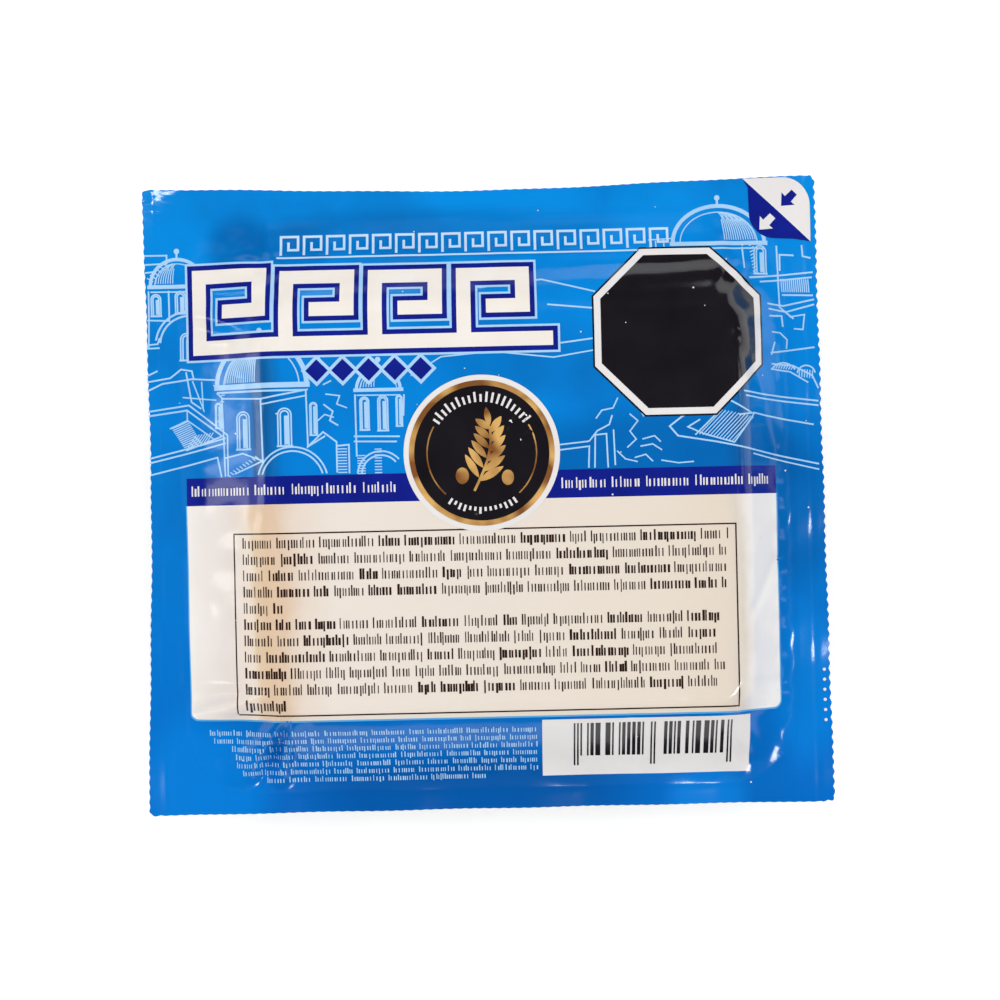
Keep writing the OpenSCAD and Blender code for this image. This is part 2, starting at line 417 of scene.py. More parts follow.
def layer(name, shapes, materials, top, bottom):
    """A thin closed sheet of the given shapes, laid on the lid from its bottom to its top offset."""
    shapes = [[even_steps(loop) for loop in loops] for loops in shapes]
    points, edges = [], []
    for loop in (loop for loops in shapes for loop in loops):
        first = len(points)
        points += [tuple(p) for p in loop]
        edges += [(first + i, first + (i + 1) % len(loop)) for i in range(len(loop))]
    spread = np.array(points)
    lo, hi = np.floor(spread.min(axis=0) / grid_step), np.ceil(spread.max(axis=0) / grid_step)
    steps = [np.arange(lo[k], hi[k] + 1) * grid_step for k in (0, 1)]
    gx, gy = (axis.ravel() for axis in np.meshgrid(*steps))
    kept = within(gx, gy, shapes)
    points += list(zip(gx[kept], gy[kept]))
    flat, _, triangles, _, _, _ = delaunay_2d_cdt([Vector(p) for p in points], edges, [], 0, 1e-5)
    flat, triangles = np.array([tuple(v) for v in flat]), np.array([tuple(t) for t in triangles])
    middles = flat[triangles].mean(axis=1)
    triangles = triangles[within(middles[:, 0], middles[:, 1], shapes)]
    used, triangles = np.unique(triangles, return_inverse=True)
    triangles = triangles.reshape(-1, 3)
    x, y = flat[used].T
    a, b, c = flat[used][triangles].transpose(1, 2, 0)
    turned = (b[0] - a[0]) * (c[1] - a[1]) - (b[1] - a[1]) * (c[0] - a[0]) < 0
    triangles[turned] = triangles[turned][:, ::-1]

    z, normals, n = lid_z(x, y), lid_normals(x, y), len(used)
    sides = {}
    for t in triangles:
        for pair in ((t[0], t[1]), (t[1], t[2]), (t[2], t[0])):
            if (pair[1], pair[0]) in sides:
                del sides[pair[1], pair[0]]
            else:
                sides[pair] = True
    walls = [(i, i + n, j + n, j) for i, j in sides]
    under = triangles[:, ::-1] + n
    faces = [tuple(map(int, f)) for f in (*triangles, *under, *walls)]
    skin = np.concatenate((np.column_stack((x, y, z + top)), np.column_stack((x, y, z + bottom))))
    return piece_from(
        name, skin, faces, materials, np.concatenate((normals, -normals)),
        second=range(len(triangles), 2 * len(triangles)) if len(materials) > 1 else (),
    )


def film_gloss(tree, place, colour, level=0.3):
    """The polyester's gloss over a colour, with the faint orange peel that film has all over."""
    peel = bump(tree, noise(tree, place, 2.2, 3), 0.25, 0.1)
    return add(tree, "ShaderNodeBsdfPrincipled", {
        "Base Color": colour, "Normal": peel, "Roughness": 0.15, "IOR": 1.5, "Specular IOR Level": level,
    })


def printed_ink(name, light, dark, patch_mm=7, level=0.3, contrast=0.0):
    """Gravure ink seen through the glossy film. Its colour drifts a little over patches."""
    material, tree, output, place = empty_material(name)
    drift = ranged(tree, noise(tree, place, patch_mm, 2), 0.4 * contrast, 1 - 0.4 * contrast)
    gloss = film_gloss(tree, place, blend(tree, drift, srgb(dark), srgb(light)), level)
    tree.links.new(gloss.outputs[0], output.inputs["Surface"])
    return material


# Sky blue ink on polyester: deep and clean, with painted shade that makes it lighter to the top and
# darker to the foot of the pack, where less light falls
sky_blue, tree, output, place = empty_material("sky_blue_printed_polyester")
apart = add(tree, "ShaderNodeSeparateXYZ", {"Vector": place})
height = ranged(tree, apart.outputs["Y"], -half_w * MM, half_w * MM)
ink = blend(tree, height, srgb("006BC4"), srgb("008CE0"))
clouds = ranged(tree, noise(tree, place, 22, 3), 0.44, 0.64, 0.35)
ink = blend(tree, clouds, ink, srgb("055FA8"))

# Painted shade: the ink is deeper in bands where the film bends down along the block's left and
# right edges and faces away from the light
bend_room = 9
run = block_box[2] - block_box[0] + 2 * bend_room
edge = ranged(tree, apart.outputs["X"], (block_box[0] - bend_room) * MM, (block_box[2] + bend_room) * MM)
edges = add(tree, "ShaderNodeValToRGB", {"Fac": edge})
edges.color_ramp.elements[0].color = (0, 0, 0, 1)
edges.color_ramp.elements[1].color = (0, 0, 0, 1)
for x, grey in (
    (6.2, 0), (7.2, 0.9), (9.5, 0.8), (13, 0), (run - 13, 0), (run - 9, 0.9), (run - 7, 0.3), (run - 5, 0),
):
    edges.color_ramp.elements.new(x / run).color = (grey, grey, grey, 1)
beside = ranged(tree, apart.outputs["Y"], 36 * MM, 26 * MM, interpolation_type="SMOOTHSTEP")
above = ranged(tree, apart.outputs["Y"], -46 * MM, -38 * MM, interpolation_type="SMOOTHSTEP")
reach = add(tree, "ShaderNodeMath", {0: beside, 1: above}, operation="MULTIPLY")
edge_shade = add(tree, "ShaderNodeMath", {0: edges.outputs["Color"], 1: reach.outputs[0]}, operation="MULTIPLY")
ink = blend(tree, edge_shade.outputs[0], ink, srgb("07538E"))

# Painted shade and painted light: soft darker patches where the film faces away from the light, and paler ones where
# it catches it.
# Each soft patch: its middle, its half lengths, its strength and its colour
for x, y, reach_x, reach_y, strength, shade in (
    (-48, 50.5, 8.5, 8.5, 0.5, "00539A"), (-36, 49.5, 8, 8, 0.35, "00539A"),
    (-12, 52.5, 46, 7, 0.35, "00539A"), (2, 25, 13, 13, 0.3, "00539A"), (24, 22, 9, 9, 0.25, "00539A"),
    (36, 7, 42, 13, 0.6, "00539A"), (63, -6, 9, 18, 0.45, "00539A"), (63, -39, 9, 20, 0.45, "008AE6"),
    (-5, -60, 44, 11, 0.72, "00509C"), (-57, -57, 16, 20, 0.5, "008AE6"), (43, -60.6, 10, 9, 0.5, "008AE6"),
):
    local = add(tree, "ShaderNodeVectorMath", {
        0: place, 1: (1 / (reach_x * MM), 1 / (reach_y * MM), 0), 2: (-x / reach_x, -y / reach_y, 0),
    }, operation="MULTIPLY_ADD")
    away = add(tree, "ShaderNodeVectorMath", {0: local.outputs[0]}, operation="LENGTH")
    near = ranged(tree, away.outputs["Value"], 1.0, 0.45, strength, interpolation_type="SMOOTHSTEP")
    ink = blend(tree, near, ink, srgb(shade))
gloss = film_gloss(tree, place, ink)
tree.links.new(gloss.outputs[0], output.inputs["Surface"])

# White ink flooded over the blue, which is the side that faces the cheese
white_side = printed_ink("white_backing_ink", "F2F3F4", "E4E7EA")

cut_loop = pinked(drawn_in(rounded_loop((-half_l, -half_w, half_l, half_w), cut_corner_r)))
lid = layer("lid_film", [[cut_loop]], [sky_blue, white_side], 0, -film_t)
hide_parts("pack")

# ---- Back film ----
# The clear lower film, a nylon and polyethylene laminate, formed warm over a mould into a pocket.
# It hugs the block's underside and sides, and its rim is heat-sealed to the lid and cut with it.

base_edge_r = 5
under_lid = 2.6 * film_t


def inset(box, d):
    """A rectangle made smaller by the same distance on every side."""
    return (box[0] + d, box[1] + d, box[2] - d, box[3] - d)


block_loop = rounded_loop(block_box, block_corner_r)
seal_loop = rounded_loop(seal_box, seal_corner_r)

# Rings of the film from the cut edge in under the rim, down the pocket's side and over its base
rings = []
for share in np.linspace(0, 1, 13):
    plan = cut_loop + (seal_loop - cut_loop) * share
    rings.append(np.column_stack((plan, lid_z(*plan.T) - under_lid)))
rim_back = rings[-1][:, 2]
around = np.arange(len(seal_loop)) / len(seal_loop) * math.tau
for share in np.linspace(0.06, 1, 18):
    plan = seal_loop + (block_loop - seal_loop) * share
    folds = 0.35 * np.sin(around * 37 + 3 * np.sin(around * 5)) * math.sin(math.pi * share) ** 2
    rings.append(np.column_stack((plan, base_edge_r + (rim_back - base_edge_r) * (1 - share ** 3) + folds)))
for angle in np.radians((72, 54, 36, 18, 0)):
    plan = rounded_loop(inset(block_box, base_edge_r * (1 - math.sin(angle))), block_corner_r)
    rings.append(np.column_stack((plan, np.full(len(plan), base_edge_r * (1 - math.cos(angle))))))
base_middle = np.array(((block_box[0] + block_box[2]) / 2, (block_box[1] + block_box[3]) / 2, 0))
for share in (0.75, 0.6):
    rings.append(base_middle + (rings[-1] * (1, 1, 0) - base_middle) * share)
back_points = np.concatenate(rings)
back_points[:, 2] = np.minimum(back_points[:, 2], lid_z(*back_points[:, :2].T) - under_lid)

count = len(seal_loop)
back_faces = []
for i in range(len(rings) - 1):
    for j in range(count):
        onward = (j + 1) % count
        outer, inner = i * count, (i + 1) * count
        back_faces.append((outer + j, inner + j, inner + onward, outer + onward))
back_faces.append([(len(rings) - 1) * count + j for j in reversed(range(count))])

# Clear nylon laminate: nearly colourless, a little milky where it is stretched, and glossy
clear, tree, output, place = empty_material("clear_nylon_laminate")
crinkle = bump(tree, noise(tree, place, 4, 3), 0.4, 0.4)
film = add(tree, "ShaderNodeBsdfPrincipled", {
    "Base Color": srgb("F4F6F6"), "Normal": crinkle, "Roughness": 0.12, "IOR": 1.5, "Alpha": 0.1,
})
tree.links.new(film.outputs[0], output.inputs["Surface"])
back = piece_from("back_film", back_points, back_faces, [clear])
walls = back.modifiers.new("film_thickness", "SOLIDIFY")
walls.thickness = film_t * MM
walls.offset = 0
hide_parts("pack")

# ---- Line drawing of a hill village ----
# Thin strokes left open in the blue, so that the white backing shows through a thin blue veil: domed
# and arched houses, low walls and hatched roofs on both sides of the title.

ink_step = 0.04

# The white backing seen through a thin veil of blue
pale_line = printed_ink("pale_open_linework", "BADDF8", "96C6F0")


def stroke(points, width, cap=0.0):
    """The outline of a line of even width with sharp corners, and square ends if cap is half of it."""
    points = np.array(points, float)
    ahead = np.diff(points, axis=0)
    ahead /= np.linalg.norm(ahead, axis=1, keepdims=True)
    points[0] -= ahead[0] * cap
    points[-1] += ahead[-1] * cap
    normal = np.stack((-ahead[:, 1], ahead[:, 0]), axis=1)
    corner = np.vstack((normal[:1], normal)) + np.vstack((normal, normal[-1:]))
    side = corner * width / np.sum(corner * corner, axis=1, keepdims=True)
    return [np.concatenate((points + side, (points - side)[::-1]))]


def arc(x, y, r, first=0.0, last=180.0, squash=1.0, steps=24):
    """Points along an arc, from one angle to another in degrees."""
    angles = np.radians(np.linspace(first, last, steps + 1))
    return np.stack((x + r * np.cos(angles), y + r * squash * np.sin(angles)), axis=1)


def dome(x, y, r, width=0.45, squash=1.0, lit=-1):
    """A dome on a drum: a double skin, ribs hatched on its lit side, a cornice and a finial."""
    lines = [stroke(arc(x, y, r, squash=squash), width * 1.7)]
    lines.append(stroke(arc(x, y, r * 0.84, squash=squash), width * 0.5))
    lines.append(stroke([(x - r - 0.6, y), (x + r + 0.6, y)], width * 1.9))
    lines.append(stroke([(x - r, y - 1.0), (x + r, y - 1.1)], width * 0.7))
    lines.append(stroke([(x, y + r * squash), (x, y + r * squash + 1.2)], width))
    lines.append([arc(x, y + r * squash + 1.6, 0.55, 0, 360)[:-1]])
    ribs = int(r * 1.6)
    for k in range(ribs):
        reach = lit * r * 0.8 * (1 - 0.9 * k / ribs)
        turn = np.radians(np.linspace(3, 80 - 15 * (k * 2 % 3), 9))
        rib = np.stack((x + reach * np.cos(turn), y + 0.4 + r * 0.78 * squash * np.sin(turn)), axis=1)
        lines.append(stroke(rib, width * 0.48))
    return lines


def window_arch(x, y, w, h, width=0.3):
    """A tall window with a round head, its inner reveal and a pale shutter on one side."""
    lines = []
    for share in (1, 0.62):
        r = w / 2 * share
        lines.append(stroke([(x - r, y), *arc(x, y + h - w / 2, r)[::-1], (x + r, y)], width))
    lines.append(stroke([(x - 0.62 * w, y), (x + 0.62 * w, y)], width * 1.2))
    lines.append(stroke([(x + w * 0.12, y + 0.3), (x + w * 0.12, y + h - w * 0.55)], w * 0.3))
    return lines


def hatching(x0, y0, x1, y1, slant, rise, count, width=0.22):
    """Even slanting strokes that start along a line from one point to another."""
    starts = [(x0 + (x1 - x0) * s, y0 + (y1 - y0) * s) for s in np.linspace(0, 1, count)]
    return [stroke([(x, y), (x + slant, y + rise)], width) for x, y in starts]


def lines_through(*paths, width=0.33):
    """Plain lines through lists of points."""
    return [stroke(path, width) for path in paths]


village = [
    # Left, upper: a chapel with a small dome, and an arched lane beside it
    *dome(-60.6, 43.2, 5.4, 0.4),
    *lines_through([(-66.9, 36.6), (-62.4, 36.4), (-62.4, 42.4)], [(-66.4, 42.4), (-66.6, 31)]),
    *window_arch(-65, 37.4, 1.9, 4.3), *window_arch(-60.1, 37.8, 2, 4.4),
    *hatching(-66.6, 45, -63.6, 48, 1.2, -0.8, 6),
    *lines_through([(-67, 47.6), (-62.6, 47.8), (-62.6, 49.4), (-67, 49.4)], [(-67, 46), (-65.2, 46.2)]),
    *lines_through(arc(-58.6, 31.6, 6.6, 92, 172), arc(-58.6, 31.6, 5.7, 92, 176), width=0.4),
    *window_arch(-59, 28.4, 2.4, 5.4),
    *lines_through([(-67, 31.6), (-64.8, 31.8), (-64.4, 33)], [(-67, 30.9), (-64.4, 31)]),
    # Left, middle: parapets and a flat roof terrace with a hatched stair
    *lines_through(
        [(-67, 25.4), (-64.9, 26.4)],
        [(-67, 24.2), (-62.4, 24.9), (-60.2, 26.6), (-58, 26.2), (-57.6, 24.4)],
    ),
    *lines_through(
        [(-67, 22.4), (-64, 23.8), (-58, 24.6), (-53.2, 24.2)], [(-59.2, 26), (-58.2, 20), (-56.2, 18.6)],
    ),
    *lines_through(
        [(-57.9, 24.2), (-55.6, 18)], [(-60, 21), (-53, 20.2)], [(-56, 24), (-55.8, 18.4)], width=0.27,
    ),
    *lines_through(
        [(-67, 18.3), (-58.8, 19.4), (-50.8, 13.2), (-50.8, 5)],
        [(-67, 17.4), (-59.2, 18.4), (-51.9, 13), (-59.6, 10.4)],
    ),
    *lines_through(
        [(-62.8, 14.8), (-59.2, 16.4), (-53.6, 12.4)], [(-59.2, 18.4), (-59.2, 16.4)], width=0.27,
    ),
    *hatching(-62.4, 14.8, -59.8, 10.6, 3.4, 1.4, 13), *hatching(-59.2, 11, -55.6, 11.4, 1.8, 2.4, 7),
    *lines_through(
        [(-67, 8.9), (-51.2, 12.6)], [(-67, 8.0), (-51.2, 11.6)],
        [(-66.8, 5.6), (-53, 8.8), (-52.2, 4.9)],
    ),
    # Left, centre: the great dome on its drum
    *dome(-43.6, 22.6, 9.2, 0.55),
    *lines_through([(-52.9, 21.6), (-51.6, 20.4), (-43.6, 20), (-34.2, 21.6)]),
    *lines_through(
        [(-51.8, 20.4), (-51.4, 5)], [(-43.6, 20), (-43.4, 7.4)],
        [(-34.6, 21.4), (-34.4, 10.4), (-31, 12.4)],
    ),
    *lines_through(
        [(-43.6, 18.9), (-34.6, 20.4)], [(-51.4, 8.6), (-47.6, 9.4), (-43.4, 7.8), (-49.4, 5.4)],
        width=0.3,
    ),
    *window_arch(-47.4, 10.2, 2.6, 7.4), *window_arch(-38.9, 10.6, 2.6, 7.4),
    *window_arch(-33.2, 12.6, 1.4, 6.4, 0.25), *hatching(-51, 5.4, -45, 8.8, 0.7, -0.5, 10),
    *hatching(-53, 16, -51.8, 22.4, 0.9, 0, 6), *window_arch(-52.6, 14.6, 1.3, 5, 0.25),
    *lines_through([(-34.6, 10.2), (-31.4, 13.2), (-28.8, 11.2), (-28.8, 5.2)]),
    *lines_through(arc(-37.6, 3.4, 7, 14, 166), arc(-37.6, 3.4, 6.2, 16, 164), width=0.33),
    # Left of the badge: a bell tower, low walls and a tree
    *dome(-20.4, 21.2, 4.3, 0.36), *window_arch(-23.2, 13.4, 1.7, 6.4),
    *window_arch(-19.6, 13.2, 1.9, 6.8), *window_arch(-16.4, 14, 1.2, 6, 0.25),
    *lines_through([(-25, 20.4), (-24.9, 8.2)], [(-15.4, 20.2), (-15.6, 16)]),
    *lines_through(
        [(-25.4, 12.2), (-16.4, 12)], [(-25.4, 11.2), (-17, 11)], arc(-20.2, 4.6, 4.6, 40, 176),
        arc(-20.2, 4.6, 3.8, 40, 176),
    ),
    *hatching(-24.8, 8.4, -24.8, 4.9, 1.6, 0, 8), *hatching(-21.4, 9.6, -21.4, 5, 1.4, 0, 9),
    *hatching(-28.6, 9.8, -28.6, 5.2, 1.8, 0, 9),
    *lines_through(
        [(-28.8, 10.4), (-26.4, 10.6), (-26.4, 5)],
        [(-31.2, 18.6), (-29.4, 17.2), (-30, 15.4), (-28.4, 14.4)],
    ),
    *lines_through(
        [(-30.8, 20.6), (-28, 20.2), (-28.6, 18.6), (-26.6, 17.8)],
        [(-32.4, 15.4), (-31, 16.6), (-29.2, 16)], width=0.27,
    ),
    *lines_through(
        [(-33.8, 23.4), (-31, 24.8), (-32.2, 29), (-35, 30.4)], [(-31.2, 22.4), (-29.6, 23.2)],
        width=0.27,
    ),
    # Behind the title: far hills, their terraces and a road
    *lines_through([(-41, 43.2), (-33, 44.8), (-25, 44.2)], [(-41, 42.2), (-30, 43.6), (-24, 42.8)]),
    *hatching(-40, 42.4, -27, 43.4, 1.4, 0.9, 26),
    *lines_through(
        [(-15, 42.6), (0, 41), (12, 42.4), (22.5, 39.6)], [(13, 37.2), (22.6, 36.2)],
        [(14, 29.4), (22.4, 30.4)],
    ),
    *lines_through([(-14, 23.8), (-8, 27.4), (2, 28.2), (14, 26.8), (21.8, 28)], width=0.27),
    # Right, upper: the second great dome, and a house with a balcony
    *dome(47.6, 49.2, 9.2, 0.45, squash=0.84, lit=1), *window_arch(55.8, 43, 2.4, 5.6),
    *window_arch(40.6, 44.8, 2, 3.2),
    *lines_through(
        [(52.2, 48.4), (52.4, 44)], [(59.2, 48.6), (59.6, 36.4), (62.4, 34)],
        [(53.4, 42.2), (66.4, 43.2)], [(55.6, 41.4), (66.2, 42.2)],
    ),
    *lines_through(
        [(59.8, 43.6), (59.8, 46.8), (62.6, 46.6)], [(60.2, 38.8), (66.4, 38.6)],
        [(64.2, 48.6), (64.4, 46.4), (66, 46)],
    ),
    *lines_through(
        [(33.6, 50.2), (38.6, 50.4)], [(35, 50), (35, 47.6)], [(36.6, 50.2), (36.6, 48.2)],
        [(31.6, 48.4), (33.8, 48.6)], width=0.27,
    ),
    *hatching(60.2, 39.4, 65.6, 39.2, -0.2, 2.6, 14), *hatching(53.6, 48.6, 54.2, 43.4, 0.9, 0.5, 9),
    # Right, middle: arcades, awnings and a road round the hill
    *lines_through(
        [(57, 37), (60.4, 36.6), (66.6, 37.8)], [(57.2, 36), (61, 35.4), (66.6, 36.8)],
        [(57.4, 34.6), (60, 34.6), (60.2, 32.4)],
    ),
    *lines_through(
        [(61.6, 34.4), (64.6, 34.8), (64.2, 31.8), (62.4, 32)],
        [(57.8, 31.4), (59.6, 31.2), (61, 29.8), (60.8, 28)], width=0.27,
    ),
    *lines_through(
        [(57.4, 27.2), (66.4, 28.2)], [(57.6, 26.8), (58.4, 29.4)],
        [(57.6, 25), (62, 24.6), (65.8, 22.6), (67, 20)],
    ),
    *lines_through(
        [(57.4, 24), (61.4, 23.4), (65, 21.2)], arc(64.6, 22.8, 1.8, 10, 170),
        arc(60, 22.4, 2.8, 30, 150), width=0.3,
    ),
    *hatching(63.2, 22.4, 65.8, 22, 0.1, 1.6, 6), *hatching(58, 24.2, 61.6, 23.8, 0.5, 0.8, 8),
    *lines_through(
        [(51.2, 19.5), (67, 17.5)], [(51.6, 18.6), (67, 16.6)], [(50, 14.8), (53.5, 15.2), (66, 12.8)],
        [(48, 17.8), (52.8, 15.2)],
    ),
    *lines_through(
        [(42, 16.4), (38.8, 14.6), (36.4, 12.8), (38, 10.9), (45.5, 9.6), (53, 8), (66.8, 4.9)],
    ),
    *lines_through(
        [(42.4, 14), (40, 12.6), (43, 11.2), (49, 9.4), (53.5, 15.2)], [(53, 7.2), (66.8, 3.8)],
        [(41.4, 11), (46.5, 15.9)], width=0.3,
    ),
    *hatching(42.2, 11.1, 48.6, 9.7, 4.6, 4.7, 11, 0.2),
    # Right of the badge: a gate pillar, rocks and waves
    *lines_through(
        [(14.2, 9.6), (20.6, 10.2)], [(14.6, 8.6), (20.4, 9.2)],
        [(21.6, 5), (21.8, 11.4), (24, 11.6), (24.2, 5)], width=0.3,
    ),
    *lines_through(
        [(20.6, 10.2), (22.2, 12.2), (24.6, 13.4), (25.2, 15.2)], [(20.4, 5), (20.6, 9.4)],
        [(25.4, 12.4), (25.6, 5.4)], width=0.3,
    ),
    *lines_through(
        [(26.4, 18.6), (25.4, 16.6), (23.2, 16.2), (22, 14.6)],
        [(28.6, 15.4), (30.2, 14), (28.6, 12), (29.8, 10.4), (28, 8.8)], width=0.27,
    ),
    *lines_through(
        [(31, 10.4), (33.4, 11), (34.6, 9.8)], [(30.6, 9), (33, 9.4), (34.8, 8.2)],
        [(29.4, 6.8), (31.6, 7.4), (33, 6)], width=0.27,
    ),
    *lines_through(
        [(32, 18.4), (30.4, 16.6), (31.4, 14.8)], [(26, 8.2), (27.6, 6.6), (30, 6)],
        [(34.6, 6.2), (38, 5.6), (41, 5.8)], width=0.27,
    ),
]
layer("village_drawing", village, [pale_line], ink_step, -ink_step)

# ---- Milky window over the cheese ----
# Translucent white ink in place of the blue, in the lower half of the lid. It shows warm and creamy
# where it lies on the cheese, whiter beyond its sides, and yellower over the block's left edge, with
# painted shade in darker bands along the block's left and right edges, where the film turns over them.

window_left, window_right, window_foot, window_head = -59.6, 57.9, -43.3, -0.75
window_corner_r, sharp_r = 1.4, 0.05


def round_corners(x0, y0, x1, y1, foot_r, head_r):
    """A rectangle whose lower and upper corners have their own radii."""
    corners = (
        (x0 + foot_r, y0 + foot_r, foot_r, 180), (x1 - foot_r, y0 + foot_r, foot_r, 270),
        (x1 - head_r, y1 - head_r, head_r, 0), (x0 + head_r, y1 - head_r, head_r, 90),
    )
    return np.concatenate([arc(x, y, r, first, first + 90, steps=6) for x, y, r, first in corners])


# Milky ink over cheese: its colours run from left to right, with faint curd-like clouds
milky, tree, output, place = empty_material("milky_window_ink")
apart = add(tree, "ShaderNodeSeparateXYZ", {"Vector": place})
wobble = noise(tree, place, 12, 3)
shift = add(tree, "ShaderNodeMath", {0: wobble, 1: 6 * MM, 2: -3 * MM}, operation="MULTIPLY_ADD")
moved = add(tree, "ShaderNodeMath", {0: apart.outputs["X"], 1: shift.outputs[0]}, operation="ADD")
across = ranged(tree, moved.outputs[0], window_left * MM, window_right * MM)
tints = add(tree, "ShaderNodeValToRGB", {"Fac": across})
window_w = window_right - window_left
block_left, block_right = block_box[0], block_box[2]
# Painted shade: the tints darken in bands at the block's left and right edges, where the film turns over them; the
# warm yellow at the left edge is the cheese's own side, seen through the ink.
tints_and_edge_shade = (
    (window_left, "F8F3EF"), (block_left - 7, "F2E7E0"), (block_left - 3.4, "F8E6D2"),
    (block_left - 2.2, "E8C9A4"), (block_left - 0.4, "E2BE98"), (block_left + 2.8, "DFBFA0"),
    (block_left + 6.5, "E9D9C9"), (block_left + 13, "EEE4DA"), (block_right - 16, "E8DCCC"),
    (block_right - 4, "E4D6C4"), (block_right - 1.5, "DAD0C2"), (block_right + 1.8, "F8F7F6"),
    (window_right, "FDFCFB"),
)
ramp = tints.color_ramp
ramp.elements.remove(ramp.elements[1])
for x, tint in tints_and_edge_shade:
    stop = ramp.elements.new((x - window_left) / window_w)
    stop.color = srgb(tint)
ramp.elements.remove(ramp.elements[0])
curds = ranged(tree, noise(tree, place, 18, 5), 0.0, 1.0, 0.5)
gloss = film_gloss(tree, place, blend(tree, curds, tints.outputs["Color"], srgb("E4D5C4")))
tree.links.new(gloss.outputs[0], output.inputs["Surface"])

# The edge where the blue thins out round the window
halo_ink = printed_ink("window_halo_ink", "6CB8E8", "4CA2DC")
halo = round_corners(window_left - 0.25, window_foot - 0.35, window_right + 0.25, window_head, 1.6, sharp_r)
layer("window_halo", [[halo]], [halo_ink], ink_step / 2, -ink_step)
pane = round_corners(window_left, window_foot, window_right, window_head, window_corner_r, sharp_r)
layer("window_print", [[pane]], [milky], ink_step, -ink_step)

# ---- Navy band over the window ----
# A solid navy strip above the window, with a line of small pale marks on each side of the medallion.
# The marks are plain upright ticks in groups, and spell nothing.

# Deep navy ink, nearly opaque
navy = printed_ink("navy_ink", "16249A", "0C1870")
# White ink, a little warm under the film
white_ink = printed_ink("white_ink", "EFEBE8", "E2DDDA")
band_head = 4.75
band = round_corners(window_left, window_head, window_right, band_head, sharp_r, sharp_r)
layer("band_print", [[band]], [navy], ink_step, -ink_step)


def tick_row(x0, x1, y, height, pitch, rng, bold=0.0, words=(5, 18)):
    """A row of upright ticks in word-like groups between two ends. Some are taller, some bolder."""
    ticks, x, base = [], x0, y - height / 2
    while x < x1:
        heavy = 1.55 if rng.random() < bold else 1
        for place_in_word in range(rng.randint(*words)):
            if x > x1:
                break
            width = 0.4 * pitch * heavy * rng.uniform(0.75, 1.3)
            top = height * (1.36 if place_in_word == 0 or rng.random() < 0.14 else rng.uniform(0.94, 1.04))
            foot = -0.28 * height if rng.random() < 0.07 else 0
            ticks.append([np.array((
                (x, base + foot), (x + width, base + foot), (x + width, base + top), (x, base + top),
            ))])
            x += pitch * rng.choice((0.78, 0.86, 1.05, 1.25)) * (1.08 if heavy > 1 else 1)
        x += pitch * 1.3
    return ticks


def marks(name, shapes, material, level):
    """A print layer in one ink, at its own level over the lid, so that no two lie in one plane."""
    layer(name, shapes, [material], level * ink_step, -ink_step)


draws = random.Random(21)
band_marks = tick_row(-58.6, -17.2, 1.9, 1.5, 0.72, draws, words=(7, 20))
band_marks += tick_row(15, 56.7, 1.9, 1.5, 0.72, draws, words=(7, 20))
marks("band_marks", band_marks, white_ink, 2)

# ---- Table of facts on the window ----
# A thin dark brown frame with eleven close rows in it, printed over the milky window. The rows are
# ticks in groups, some bold, and spell nothing.

# Brown ink so dark that it is nearly black
brown = printed_ink("dark_brown_ink", "3A231D", "261411")
table_left, table_right, table_foot, table_head = -49.9, 48.9, -42.3, -6.5
table_rows, short_rows = 11, (4, 10)
row_pitch = (table_head - table_foot - 0.6) / table_rows


def box_lines(x0, y0, x1, y1, width):
    """The outline of a rectangle, drawn with a line."""
    return [stroke([(x0, y0), (x1, y0), (x1, y1), (x0, y1), (x0, y0)], width, width / 2)]


facts = box_lines(table_left, table_foot, table_right, table_head, 0.28)
for row in range(table_rows):
    end = table_left + 10 if row in short_rows else table_right - 1.6 - draws.random() * 3
    y = table_head - 0.5 - row_pitch * (row + 0.5)
    facts += tick_row(table_left + 1.8, end, y, 1.55, 0.6, draws, bold=0.4)
marks("table_of_facts", facts, brown, 2)

# ---- Small print and the line under the head ----
# Rows of tiny pale ticks at the lower left, and a fine key border where the weight line would be.

small_print, small_head, small_pitch = [], -46.2, 1.62
row_ends = (-56, 9), (-55.2, 9.4), (-51.6, 9.2), (-50.8, 9.4), (-50.6, 9), (-49.4, 9.2), (-44.8, -1)
for row, (start, end) in enumerate(row_ends):
    small_print += tick_row(start, end, small_head - small_pitch * row, 0.85, 0.5, draws)
marks("small_print", small_print, pale_line, 2)


def key_path(x, y, w, h):
    """One turn of a Greek key, from its foot at the lower left in to its inner end."""
    turn = ((0, 0), (0, 1), (1, 1), (1, 0.24), (0.44, 0.24), (0.44, 0.62))
    return [(x + w * u, y + h * v) for u, v in turn]


# White ink with a breath of blue in it, paler than the village's lines
pale_head = printed_ink("pale_border_ink", "CCE4FA", "B4D6F6")
border, border_h, border_w, border_pitch = [], 3.6, 3.4, 4.6
for k in range(17):
    border.append(stroke(key_path(-39.6 + border_pitch * k, 48.9, border_w, border_h), 0.5, 0.25))
border.append(stroke([(-40.4, 48.1), (37.4, 48.1)], 0.35))
marks("key_border", border, pale_head, 2)

# ---- Title: a row of Greek keys ----
# Four large key shapes in cream with a navy edge and a thin pale line round it, where the pack has
# its title, and a row of five lozenges under them.

